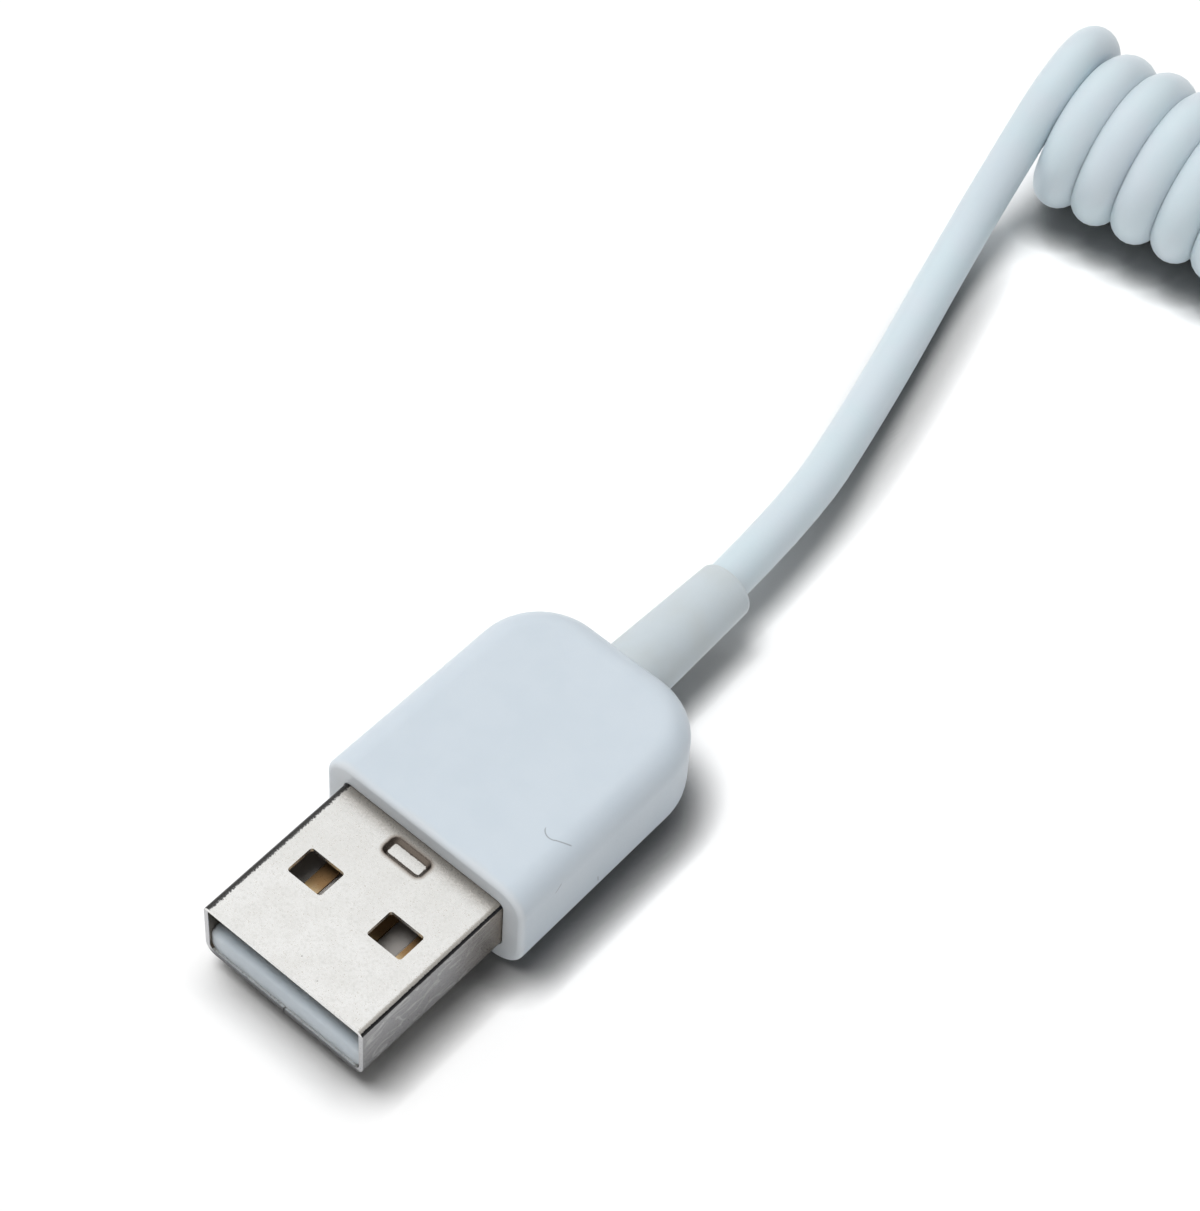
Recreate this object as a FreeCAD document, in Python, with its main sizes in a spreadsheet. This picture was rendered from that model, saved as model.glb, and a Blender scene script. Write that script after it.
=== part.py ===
import FreeCAD, Part
import math
import os
from types import SimpleNamespace

import Sketcher

V = FreeCAD.Vector
NEAR = 1e-4

# A coiled USB extension cable: a plug, a straight lead, the coil, a short tail and a socket, on a table.
# Each connector has its own axes: x across, y from the housing's front face backwards, z up from mid-height.
# The origin is the centre of the plug housing's underside.
# Lengths in millimetres, headings in degrees from +X.
SIZES = {
    # fits
    "slip": 0.05,                    # gap round a piece that sits in another
    # cord and coil
    "cord_diameter": 2.74,
    "coil_diameter": 11.06,          # outside
    "coil_pitch": 2.87,
    "coil_turns": 30.5,
    "coil_heading": -30.0,
    "coil_start_x": 32.27,           # where the lead runs onto the first turn
    "coil_start_y": 51.17,
    "lead_straight": 8.1,            # lead held straight past the plug's strain relief
    "tail_straight": 4.4,            # tail held straight past the socket's strain relief
    # folded metal shells
    "shell_sheet": 0.3,
    "shell_bend": 0.45,              # outside radius of the upper folds
    "seam_side_bend": 0.8,           # outside radius of the folds beside the seam's wall
    "seam_width": 0.1,
    # contacts
    "contact_width": 1.0,
    "contact_sheet": 0.25,
    "contact_proud": 0.05,           # above the tongue's face
    "contact_bevel": 0.15,
    "contact_tail": 2.0,             # behind the shell, where the core is soldered
    "data_spacing": 2.0,             # between the two data contacts
    "power_spacing": 7.0,            # between the two power contacts
    # plug
    "plug_heading": 50.0,            # from tip to cord
    "plug_shell_width": 12.0,
    "plug_shell_height": 4.5,
    "plug_exposed": 11.2,            # shell in front of the housing
    "plug_seated": 5.5,              # shell inside the housing
    "plug_side_wall": 1.4,
    "plug_top_wall": 1.35,
    "window_width": 2.54,
    "window_length": 2.01,
    "window_spacing": 6.03,
    "window_from_tip": 5.77,
    "window_corner": 0.2,
    "dimple_width": 2.9,
    "dimple_length": 1.3,
    "dimple_depth": 0.24,
    "dimple_slope": -45.0,           # of its sides
    "dimple_from_tip": 9.9,
    "plug_tongue_recess": 0.16,      # behind the shell's tip
    "plug_tongue_face": 0.1,         # below mid-height
    "plug_block_front": 0.8,
    "plug_power_from_tip": 1.6,
    "plug_data_from_tip": 2.6,
    # socket
    "socket_inner_width": 12.5,
    "socket_inner_height": 5.12,
    "socket_proud": 0.6,             # shell in front of the housing
    "socket_seated": 14.6,           # shell inside the housing
    "socket_side_wall": 1.25,
    "socket_top_wall": 1.3,
    "socket_tongue_width": 11.1,
    "socket_tongue_thickness": 1.84,
    "socket_tongue_recess": 2.3,     # behind the shell's rim
    "socket_tongue_face": 0.05,      # above mid-height
    "socket_block_front": 11.0,
    "socket_power_from_rim": 2.9,
    "socket_data_from_rim": 3.7,
    "leaf_width": 2.2,
    "leaf_gap": 0.35,                # slit on each side of a spring leaf
    "leaf_spacing": 6.4,
    "leaf_root": 8.0,                # where a leaf leaves the shell's wall
    "leaf_knee": 3.4,                # where it comes furthest in
    "leaf_end": 2.6,
    "leaf_drop": 0.55,               # how far it comes in
    "leaf_flick": 0.3,               # how far its end turns back
    # moulded pieces of either connector
    "tongue_corner": 0.55,
    "tongue_nose": 0.45,
    "mould_length": 8.95,
    "mould_wall": 0.55,
    "mould_gap": 0.25,               # beside the outer contacts' tails
    "crimp_seat": 2.9,               # length of the crimp's bore in the inner mould
    "crimp_wall": 0.3,
    "sheath_bared": 0.5,             # from the crimp's front to the end of the sheath
    "core_diameter": 0.6,
    "core_spacing": 0.7,
    "core_straight": 1.8,            # along the contact and at the sheath's end
    "rear_wall": 2.75,
    "flange_thickness": 1.1,
    "flange_rim": 0.6,               # how far the flange stands out
    "relief_root_wall": 0.76,        # at the housing
    "relief_tip_wall": 0.44,
    "relief_length": 9.1,            # behind the housing
    "housing_taper": 0.25,           # narrower at the rear, on each side
    "housing_corner": 4.5,           # rear corners in plan
    "housing_edge": 1.75,            # upper edges
    "housing_low_edge": 2.3,
    "housing_front_edge": 0.35,
}

# The lead's free bends between the plug and the coil: x and y from the coil's start, and height
LEAD_BENDS = [(-6.83, -10.64, 2.4), (-2.76, -3.55, 6.9)]
# The tail's bends: out from the coil's axis, back from the coil's end, and height
TAIL_BENDS = [(8.5, 0.0, 1.9), (16.3, 4.5, 3.1)]
# Where the tail runs straight into the socket, at the socket's own height
TAIL_OUT = 21.05
TAIL_BACK = 12.7
# How much of the shorter run an arc of a cord takes up, and of its wall the rounding of a sleeve's end
ARC_SHARE = 0.45
NOSE_SHARE = 0.75
# How much of half the dimple's length its corners are rounded by
DIMPLE_ROUND = 0.62
# How far a tube's volume may be from its section times its length
TUBE_TOLERANCE = 0.002
# Contacts from left to right as the plug's face is seen: name, row and side
CONTACTS = [
    ("ground", "power", -1),
    ("data_plus", "data", -1),
    ("data_minus", "data", 1),
    ("power", "power", 1),
]
CORES = {"ground": "black", "data_plus": "green", "data_minus": "white", "power": "red"}


class Size:
    """A number from the sheet, or worked out from it, kept with the expression that gives it."""

    def __init__(self, value, text):
        self.value = value
        self.text = text

    def __add__(self, other):
        other = as_size(other)
        return Size(self.value + other.value, "(%s + %s)" % (self.text, other.text))

    def __sub__(self, other):
        other = as_size(other)
        return Size(self.value - other.value, "(%s - %s)" % (self.text, other.text))

    def __mul__(self, other):
        other = as_size(other)
        return Size(self.value * other.value, "(%s * %s)" % (self.text, other.text))

    def __truediv__(self, other):
        other = as_size(other)
        return Size(self.value / other.value, "(%s / %s)" % (self.text, other.text))

    def __neg__(self):
        return Size(-self.value, "(0 - %s)" % self.text)


def as_size(number):
    if isinstance(number, Size):
        return number
    return Size(float(number), "(%r)" % float(number))


def sine(angle):
    return Size(math.sin(math.radians(angle.value)), "sin(%s * 1 deg)" % angle.text)


def cosine(angle):
    return Size(math.cos(math.radians(angle.value)), "cos(%s * 1 deg)" % angle.text)


def fill_sheet(doc):
    """The sheet of driving dimensions, and each of its cells as a Size under its alias."""
    sheet = doc.addObject("Spreadsheet::Sheet", "sizes")
    for row, (alias, value) in enumerate(SIZES.items(), start=1):
        sheet.set("A%d" % row, alias)
        sheet.set("B%d" % row, str(value))
        sheet.setAlias("B%d" % row, alias)
    doc.recompute()
    cells = {alias: Size(float(sheet.get(alias)), "sizes.%s" % alias) for alias in SIZES}
    return SimpleNamespace(**cells)


class Axes:
    """The axes of a connector or of the coil: y points along the heading, z up."""

    def __init__(self, heading, x, y, z):
        self.turn = heading - 90
        self.x = x
        self.y = y
        self.z = z

    def point(self, x, y, z=0):
        x = as_size(x)
        y = as_size(y)
        cos_turn = cosine(self.turn)
        sin_turn = sine(self.turn)
        return (self.x + x * cos_turn - y * sin_turn, self.y + x * sin_turn + y * cos_turn, self.z + z)

    def carry(self, piece):
        """Puts a piece that was drawn in these axes in its place."""
        piece.Placement = FreeCAD.Placement(V(), FreeCAD.Rotation(V(0, 0, 1), 90))
        piece.setExpression("Placement.Base.x", self.x.text)
        piece.setExpression("Placement.Base.y", self.y.text)
        piece.setExpression("Placement.Base.z", self.z.text)
        piece.setExpression("Placement.Rotation.Angle", "%s * 1 deg" % self.turn.text)


# Sketches

def new_sketch(body, name, plane, along=None):
    """An empty sketch on one of the body's planes, moved to this place along the axis across the plane."""
    profile = body.newObject("Sketcher::SketchObject", name)
    support = [feature for feature in body.Origin.OriginFeatures if feature.Role == plane][0]
    profile.AttachmentSupport = [(support, "")]
    profile.MapMode = "FlatFace"
    if along is not None:
        # the XZ plane looks towards -Y
        offset = -along if plane == "XZ_Plane" else along
        profile.setExpression("AttachmentOffset.Base.z", offset.text)
    return profile


def fix(profile, geometry, position, x, y):
    """Ties one point of a sketch to its place."""
    for kind, size in (("DistanceX", x), ("DistanceY", y)):
        number = profile.addConstraint(Sketcher.Constraint(kind, geometry, position, size.value))
        profile.setExpression("Constraints[%d]" % number, size.text)


def towards(start, end):
    """The direction, along one of the sketch's axes, from one corner to another."""
    dx = end[0].value - start[0].value
    dy = end[1].value - start[1].value
    if abs(dx) > abs(dy):
        return math.copysign(1, dx), 0
    return 0, math.copysign(1, dy)


def draw_outline(profile, corners):
    """A closed outline through corners (x, y, radius). Edges beside a rounded corner run along the axes."""
    count = len(corners)
    arrive = []
    leave = []
    for number, (x, y, radius) in enumerate(corners):
        before = towards(corners[number], corners[number - 1])
        after = towards(corners[number], corners[(number + 1) % count])
        if radius is None:
            arrive.append((x, y))
            leave.append((x, y))
        else:
            arrive.append((x + radius * before[0], y + radius * before[1]))
            leave.append((x + radius * after[0], y + radius * after[1]))
    lines = []
    for number in range(count):
        start = leave[number]
        end = arrive[(number + 1) % count]
        ends = [V(point[0].value, point[1].value, 0) for point in (start, end)]
        line = profile.addGeometry(Part.LineSegment(*ends), False)
        fix(profile, line, 1, *start)
        lines.append(line)
    for number, (x, y, radius) in enumerate(corners):
        before = lines[number - 1]
        after = lines[number]
        if radius is None:
            profile.addConstraint(Sketcher.Constraint("Coincident", before, 2, after, 1))
        else:
            fix(profile, before, 2, *arrive[number])
            draw_corner(profile, (x, y), arrive[number], leave[number], radius, before, after)


def draw_corner(profile, corner, start, end, radius, before, after):
    """The arc between two lines of an outline that would meet at the corner."""
    points = [V(point[0].value, point[1].value, 0) for point in (start, end)]
    tip = V(corner[0].value, corner[1].value, 0)
    centre = points[0] + points[1] - tip
    middle = centre + (tip - centre).normalize() * radius.value
    arc = profile.addGeometry(Part.Arc(points[0], middle, points[1]), False)
    first = profile.Geometry[arc].StartPoint.distanceToPoint(points[0]) < NEAR
    profile.addConstraint(Sketcher.Constraint("Coincident", arc, 1 if first else 2, before, 2))
    profile.addConstraint(Sketcher.Constraint("Coincident", arc, 2 if first else 1, after, 1))
    number = profile.addConstraint(Sketcher.Constraint("Radius", arc, radius.value))
    profile.setExpression("Constraints[%d]" % number, radius.text)


def draw_box(profile, left, right, low, high, radius=None):
    """A rectangle, with all its corners rounded alike if a radius is given."""
    corners = [(left, low), (right, low), (right, high), (left, high)]
    draw_outline(profile, [(x, y, radius) for x, y in corners])


def draw_section(profile, width, height, radius, low_radius=None):
    """A rectangle about the sketch's origin, with rounded corners. The low ones may have their own radius."""
    low_radius = low_radius or radius
    draw_outline(profile, [
        (-width / 2, -height / 2, low_radius),
        (width / 2, -height / 2, low_radius),
        (width / 2, height / 2, radius),
        (-width / 2, height / 2, radius),
    ])


def draw_circle(profile, diameter):
    """A circle about the sketch's origin."""
    circle = profile.addGeometry(Part.Circle(V(), V(0, 0, 1), diameter.value / 2), False)
    fix(profile, circle, 3, as_size(0), as_size(0))
    number = profile.addConstraint(Sketcher.Constraint("Diameter", circle, diameter.value))
    profile.setExpression("Constraints[%d]" % number, diameter.text)


# Features

def pad_back(body, name, profile, length):
    """Pads a profile of the XZ plane backwards, along +Y."""
    feature = body.newObject("PartDesign::Pad", name)
    feature.Profile = profile
    feature.Reversed = True
    feature.setExpression("Length", length.text)
    body.Document.recompute()
    return feature


def pocket(body, name, profile, length=None, both_ways=False):
    """Cuts a profile out of the body, right through if no length is given, and checks that it cuts."""
    before = body.Shape.Volume
    feature = body.newObject("PartDesign::Pocket", name)
    feature.Profile = profile
    if length is None:
        feature.Type = "ThroughAll"
    else:
        feature.setExpression("Length", length.text)
    if both_ways:
        feature.SideType = "Symmetric"
    body.Document.recompute()
    if not body.Shape.Volume < before - NEAR:
        raise RuntimeError("%s of %s cuts nothing" % (name, body.Label))
    return feature


def lies_at(edge, axis, place):
    """Whether the whole edge lies at this place along the axis."""
    box = edge.BoundBox
    low = getattr(box, axis + "Min")
    high = getattr(box, axis + "Max")
    return abs(low - place.value) < NEAR and abs(high - place.value) < NEAR


def dress_edges(body, kind, name, size, chosen):
    """A Fillet or Chamfer on the edges of the body so far for which chosen is true."""
    base = body.Tip
    names = ["Edge%d" % number for number, edge in enumerate(base.Shape.Edges, start=1) if chosen(edge)]
    feature = body.newObject("PartDesign::" + kind, name)
    feature.Base = (base, names)
    feature.setExpression("Radius" if kind == "Fillet" else "Size", size.text)
    body.Document.recompute()
    return feature


# Cords and wires

def cord_path(corners):
    """Straight runs joined by tangent arcs as large as the runs allow, and the arcs' radii."""
    edges = []
    radii = []
    last = corners[0]
    for number in range(1, len(corners) - 1):
        corner = corners[number]
        back = corners[number - 1] - corner
        ahead = corners[number + 1] - corner
        reach = ARC_SHARE * min(back.Length, ahead.Length)
        turn = math.pi - back.getAngle(ahead)
        radius = reach / math.tan(turn / 2)
        back.normalize()
        ahead.normalize()
        start = corner + back * reach
        end = corner + ahead * reach
        middle = corner + (back + ahead).normalize() * (math.hypot(reach, radius) - radius)
        edges.append(Part.LineSegment(last, start).toShape())
        edges.append(Part.Arc(start, middle, end).toShape())
        radii.append(radius)
        last = end
    edges.append(Part.LineSegment(last, corners[-1]).toShape())
    return Part.Wire(edges), radii


def make_tube(doc, label, points, diameter, axes=None):
    """A cord's or wire's solid along its route, whose volume is that of its section times its length."""
    corners = [V(*[as_size(value).value for value in point]) for point in points]
    path, radii = cord_path(corners)
    section = Part.Circle(corners[0], corners[1] - corners[0], diameter.value / 2)
    tube = doc.addObject("Part::Feature", label)
    tube.Shape = path.makePipe(Part.Face(Part.Wire(section.toShape())))
    if axes is None:
        tube.Placement = FreeCAD.Placement()
    else:
        axes.carry(tube)
    expected = math.pi * diameter.value ** 2 / 4 * path.Length
    share = tube.Shape.Volume / expected
    print("%s: %.1f long, radii %s, volume %.4f of section by length"
          % (label, path.Length, ", ".join("%.1f" % radius for radius in radii), share))
    if abs(share - 1) > TUBE_TOLERANCE:
        raise RuntimeError("%s isn't a plain tube" % label)
    return tube


# Pieces of either connector

class Connector:
    """The sizes that a connector's pieces share. side is 1 if its contacts look up, -1 if they look down."""

    def __init__(self, size, name, side, shell, tongue, walls):
        self.size = size
        self.name = name
        self.side = side
        self.shell = shell
        self.tongue = tongue
        self.inner_width = shell.width - size.shell_sheet * 2
        self.inner_height = shell.height - size.shell_sheet * 2
        self.inner_bend = size.shell_bend - size.shell_sheet
        self.low_inner_bend = size.seam_side_bend - size.shell_sheet
        self.tail_end = shell.rear + size.contact_tail
        self.mould_front = shell.rear + size.slip
        self.mould_rear = self.mould_front + size.mould_length
        self.mould_width = size.power_spacing + size.contact_width + (size.mould_gap + size.mould_wall) * 2
        self.chamber_rear = self.mould_rear - size.crimp_seat
        self.crimp_inner = size.cord_diameter + size.slip * 2
        self.crimp_outer = self.crimp_inner + size.crimp_wall * 2
        self.sheath_end = self.chamber_rear + size.sheath_bared
        self.flange_front = self.mould_rear + size.slip
        self.flange_rear = self.flange_front + size.flange_thickness
        self.length = self.flange_front + size.rear_wall
        self.width = shell.width + (size.slip + walls.side) * 2
        self.height = shell.height + (size.slip + walls.top) * 2
        self.relief_bore = size.cord_diameter + size.slip * 2
        self.relief_root = self.relief_bore + size.relief_root_wall * 2
        self.relief_tip = self.relief_bore + size.relief_tip_wall * 2
        self.flange_diameter = self.relief_root + size.flange_rim * 2
        self.relief_end = self.length + size.relief_length

    def spacing_of(self, row):
        return self.size.power_spacing if row == "power" else self.size.data_spacing

    def front_of(self, row):
        return self.tongue.power_front if row == "power" else self.tongue.data_front


def new_body(doc, label):
    body = doc.addObject("PartDesign::Body", label)
    body.Label = label
    return body


def make_tube_of_sheet(body, size, connector):
    """The folded sheet's tube, open at both ends, with the seam along its underside."""
    shell = connector.shell
    section = new_sketch(body, "shell_section", "XZ_Plane", shell.front)
    draw_section(section, shell.width, shell.height, size.shell_bend, size.seam_side_bend)
    draw_section(section, connector.inner_width, connector.inner_height, connector.inner_bend,
                 connector.low_inner_bend)
    pad_back(body, "shell_tube", section, shell.rear - shell.front)
    seam = new_sketch(body, "seam_line", "XZ_Plane", shell.front)
    draw_box(seam, -size.seam_width / 2, size.seam_width / 2, -shell.height / 2, -connector.inner_height / 2)
    pocket(body, "seam", seam)


def make_tongue(doc, size, connector):
    """The moulded tongue that carries the contacts, with the block that fills the rear of the shell."""
    body = new_body(doc, connector.name + "_tongue")
    tongue = connector.tongue
    side = connector.side
    slab = new_sketch(body, "slab_section", "XZ_Plane", tongue.front)
    half = tongue.width / 2
    face = -tongue.face * side
    back = -(tongue.face + tongue.thickness) * side
    corners = [
        (-half, back, size.tongue_corner),
        (half, back, size.tongue_corner),
        (half, face, None),
        (-half, face, None),
    ]
    # outlines run anticlockwise, whichever way the contacts look
    draw_outline(slab, corners if side > 0 else corners[::-1])
    pad_back(body, "slab", slab, connector.shell.rear - tongue.front)
    dress_edges(body, "Fillet", "nose", size.tongue_nose,
                lambda edge: lies_at(edge, "Y", tongue.front) and lies_at(edge, "Z", face))
    block = new_sketch(body, "block_section", "XZ_Plane", tongue.block_front)
    block_width = connector.inner_width - size.slip * 2
    block_height = connector.inner_height - size.slip * 2
    draw_section(block, block_width, block_height, connector.inner_bend, connector.low_inner_bend)
    pad_back(body, "block", block, connector.shell.rear - tongue.block_front)
    floor = (size.contact_proud - size.contact_sheet - tongue.face) * side
    roof = (size.contact_proud + size.slip - tongue.face) * side
    slot_half = size.contact_width / 2 + size.slip
    for row in ("power", "data"):
        slots = new_sketch(body, row + "_slots_section", "XZ_Plane", connector.front_of(row) - size.slip)
        for place in (-1, 1):
            middle = connector.spacing_of(row) / 2 * place
            draw_box(slots, middle - slot_half, middle + slot_half, floor, roof)
        pocket(body, row + "_slots", slots)
    return body


def make_contact(doc, size, connector, name, row, place):
    """One contact strip, from its bevelled nose on the tongue to its tail behind the shell."""
    body = new_body(doc, "%s_contact_%s" % (connector.name, name))
    front = connector.front_of(row)
    middle = connector.spacing_of(row) / 2 * place
    half = size.contact_width / 2
    top = (size.contact_proud - connector.tongue.face) * connector.side
    bottom = (size.contact_proud - size.contact_sheet - connector.tongue.face) * connector.side
    strip = new_sketch(body, "strip_section", "XZ_Plane", front)
    draw_box(strip, middle - half, middle + half, bottom, top)
    pad_back(body, "strip", strip, connector.tail_end - front)
    dress_edges(body, "Chamfer", "bevel", size.contact_bevel,
                lambda edge: lies_at(edge, "Y", front) and lies_at(edge, "Z", top))
    return body


def make_core(doc, size, connector, name, row, place):
    """One insulated core, from the sheath's end to the contact's tail, power cores above data cores."""
    across = connector.spacing_of(row) / 2 * place
    on_tail = (size.contact_proud - connector.tongue.face + size.core_diameter / 2) * connector.side
    level = connector.side if row == "power" else -connector.side
    start = connector.tail_end - size.core_straight * (1 - ARC_SHARE)
    end = connector.sheath_end
    points = [
        (across, start, on_tail),
        (across, start + size.core_straight, on_tail),
        (size.core_spacing / 2 * place, end - size.core_straight, size.core_spacing / 2 * level),
        (size.core_spacing / 2 * place, end, size.core_spacing / 2 * level),
    ]
    label = "%s_core_%s" % (connector.name, CORES[name])
    return make_tube(doc, label, points, size.core_diameter, connector.axes)


def make_inner_mould(doc, size, connector):
    """The stiff inner moulding round the soldered cores, hollow in front and bored for the crimp."""
    body = new_body(doc, connector.name + "_inner_mould")
    section = new_sketch(body, "mould_section", "XZ_Plane", connector.mould_front)
    draw_section(section, connector.mould_width, connector.shell.height, size.shell_bend)
    pad_back(body, "mould_block", section, size.mould_length)
    chamber = new_sketch(body, "chamber_section", "XZ_Plane", connector.mould_front)
    chamber_width = connector.mould_width - size.mould_wall * 2
    chamber_height = connector.shell.height - size.mould_wall * 2
    draw_section(chamber, chamber_width, chamber_height, connector.inner_bend)
    pocket(body, "chamber", chamber, connector.chamber_rear - connector.mould_front)
    bore = new_sketch(body, "crimp_bore_section", "XZ_Plane", connector.chamber_rear)
    draw_circle(bore, connector.crimp_outer + size.slip * 2)
    pocket(body, "crimp_bore", bore)
    return body


def make_crimp(doc, size, connector):
    """The metal ferrule that grips the sheath."""
    body = new_body(doc, connector.name + "_crimp")
    ring = new_sketch(body, "ring_section", "XZ_Plane", connector.chamber_rear)
    draw_circle(ring, connector.crimp_outer)
    draw_circle(ring, connector.crimp_inner)
    pad_back(body, "ring", ring, size.crimp_seat - size.slip)
    return body


def make_housing(doc, size, connector):
    """The moulded grip: a tapered block with soft edges, hollow for the shell and the inner mould."""
    body = new_body(doc, connector.name + "_housing")
    front_half = connector.width / 2
    rear_half = front_half - size.housing_taper
    zero = as_size(0)
    low = -connector.height / 2
    high = connector.height / 2
    plan = new_sketch(body, "plan", "XY_Plane", low)
    draw_outline(plan, [
        (-front_half, zero, None),
        (front_half, zero, None),
        (rear_half, connector.length, None),
        (-rear_half, connector.length, None),
    ])
    block = body.newObject("PartDesign::Pad", "grip_block")
    block.Profile = plan
    block.setExpression("Length", connector.height.text)
    doc.recompute()
    dress_edges(body, "Fillet", "rear_corners", size.housing_corner,
                lambda edge: lies_at(edge, "Y", connector.length) and edge.BoundBox.ZLength > NEAR)
    dress_edges(body, "Fillet", "upper_edges", size.housing_edge,
                lambda edge: lies_at(edge, "Z", high) and not lies_at(edge, "Y", zero))
    dress_edges(body, "Fillet", "low_edges", size.housing_low_edge,
                lambda edge: lies_at(edge, "Z", low) and not lies_at(edge, "Y", zero))
    dress_edges(body, "Fillet", "front_rim", size.housing_front_edge, lambda edge: lies_at(edge, "Y", zero))
    shell_seat = new_sketch(body, "shell_seat_section", "XZ_Plane", zero)
    draw_section(shell_seat, connector.shell.width + size.slip * 2, connector.shell.height + size.slip * 2,
                 size.shell_bend + size.slip, size.seam_side_bend + size.slip)
    pocket(body, "shell_seat", shell_seat, connector.mould_front)
    mould_seat = new_sketch(body, "mould_seat_section", "XZ_Plane", connector.mould_front)
    draw_section(mould_seat, connector.mould_width + size.slip * 2, connector.shell.height + size.slip * 2,
                 size.shell_bend + size.slip)
    pocket(body, "mould_seat", mould_seat, connector.flange_front - connector.mould_front)
    flange_seat = new_sketch(body, "flange_seat_section", "XZ_Plane", connector.flange_front)
    draw_circle(flange_seat, connector.flange_diameter + size.slip * 2)
    pocket(body, "flange_seat", flange_seat, size.flange_thickness + size.slip)
    bore = new_sketch(body, "relief_bore_section", "XZ_Plane", connector.flange_front)
    draw_circle(bore, connector.relief_root + size.slip * 2)
    pocket(body, "relief_bore", bore)
    return body


def make_strain_relief(doc, size, connector):
    """The soft sleeve round the cord, held in the housing by its flange."""
    body = new_body(doc, connector.name + "_strain_relief")
    bore = connector.relief_bore / 2
    flange = connector.flange_diameter / 2
    root = connector.relief_root / 2
    tip = connector.relief_tip / 2
    profile = new_sketch(body, "sleeve_profile", "XY_Plane")
    draw_outline(profile, [
        (bore, connector.flange_front, None),
        (flange, connector.flange_front, None),
        (flange, connector.flange_rear, None),
        (root, connector.flange_rear, None),
        (root, connector.length, None),
        (tip, connector.relief_end, None),
        (bore, connector.relief_end, None),
    ])
    sleeve = body.newObject("PartDesign::Revolution", "sleeve")
    sleeve.Profile = profile
    sleeve.ReferenceAxis = (profile, ["V_Axis"])
    sleeve.Angle = 360
    doc.recompute()
    end = connector.relief_end
    dress_edges(body, "Fillet", "nose", size.relief_tip_wall * NOSE_SHARE,
                lambda edge: lies_at(edge, "Y", end) and edge.Curve.Radius > bore.value + NEAR)
    return body


# The plug's and the socket's own shells

def make_plug_shell(doc, size, plug):
    """The plug's shell, with its two windows through both walls and the pressed mark near the housing."""
    body = new_body(doc, "plug_shell")
    make_tube_of_sheet(body, size, plug)
    windows = new_sketch(body, "windows_outline", "XY_Plane")
    middle = plug.shell.front + size.window_from_tip
    for place in (-1, 1):
        across = size.window_spacing / 2 * place
        draw_box(windows, across - size.window_width / 2, across + size.window_width / 2,
                 middle - size.window_length / 2, middle + size.window_length / 2, size.window_corner)
    pocket(body, "windows", windows, both_ways=True)
    boss = new_sketch(body, "dimple_boss_outline", "XY_Plane", plug.inner_height / 2)
    draw_dimple(boss, size, plug)
    back_of_dimple = body.newObject("PartDesign::Pad", "dimple_boss")
    back_of_dimple.Profile = boss
    back_of_dimple.Reversed = True
    back_of_dimple.setExpression("Length", size.dimple_depth.text)
    doc.recompute()
    dimple = new_sketch(body, "dimple_outline", "XY_Plane", plug.shell.height / 2)
    draw_dimple(dimple, size, plug)
    hollow = pocket(body, "dimple", dimple, size.dimple_depth)
    hollow.setExpression("TaperAngle", "%s * 1 deg" % size.dimple_slope.text)
    doc.recompute()
    return body


def draw_dimple(profile, size, plug):
    """The pressed mark's outline on the shell's upper wall."""
    middle = plug.shell.front + size.dimple_from_tip
    half_width = size.dimple_width / 2
    half_length = size.dimple_length / 2
    draw_box(profile, -half_width, half_width, middle - half_length, middle + half_length,
             half_length * DIMPLE_ROUND)


def make_socket_shell(doc, size, socket):
    """The socket's shell, with two spring leaves cut from each broad wall and bent inwards."""
    body = new_body(doc, "socket_shell")
    make_tube_of_sheet(body, size, socket)
    slits = new_sketch(body, "leaf_openings_outline", "XY_Plane")
    opening_half = size.leaf_width / 2 + size.leaf_gap
    for place in (-1, 1):
        across = size.leaf_spacing / 2 * place
        draw_box(slits, across - opening_half, across + opening_half,
                 size.leaf_end - size.leaf_gap, size.leaf_root)
    pocket(body, "leaf_openings", slits, both_ways=True)
    outer = socket.shell.height / 2
    inner = socket.inner_height / 2
    root = size.leaf_root + size.shell_sheet
    for place, word in ((-1, "left"), (1, "right")):
        leaves = new_sketch(body, word + "_leaves_profile", "YZ_Plane", size.leaf_spacing / 2 * place)
        for side in (-1, 1):
            knee_in = (inner - size.leaf_drop) * side
            knee_out = (outer - size.leaf_drop) * side
            draw_outline(leaves, [
                (root, inner * side, None),
                (root, outer * side, None),
                (size.leaf_root, outer * side, None),
                (size.leaf_knee, knee_out, None),
                (size.leaf_end, knee_out + size.leaf_flick * side, None),
                (size.leaf_end, knee_in + size.leaf_flick * side, None),
                (size.leaf_knee, knee_in, None),
                (size.leaf_root, inner * side, None),
            ])
        pad = body.newObject("PartDesign::Pad", word + "_leaves")
        pad.Profile = leaves
        pad.SideType = "Symmetric"
        pad.setExpression("Length", size.leaf_width.text)
        doc.recompute()
    return body


def make_connector(doc, size, connector, make_shell):
    """All of a connector's pieces, in their place."""
    bodies = [make_shell(doc, size, connector), make_tongue(doc, size, connector)]
    cores = []
    for name, row, place in CONTACTS:
        bodies.append(make_contact(doc, size, connector, name, row, place))
        cores.append(make_core(doc, size, connector, name, row, place))
    for make in (make_inner_mould, make_crimp, make_housing, make_strain_relief):
        bodies.append(make(doc, size, connector))
    for body in bodies:
        connector.axes.carry(body)
    return bodies + cores


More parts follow.
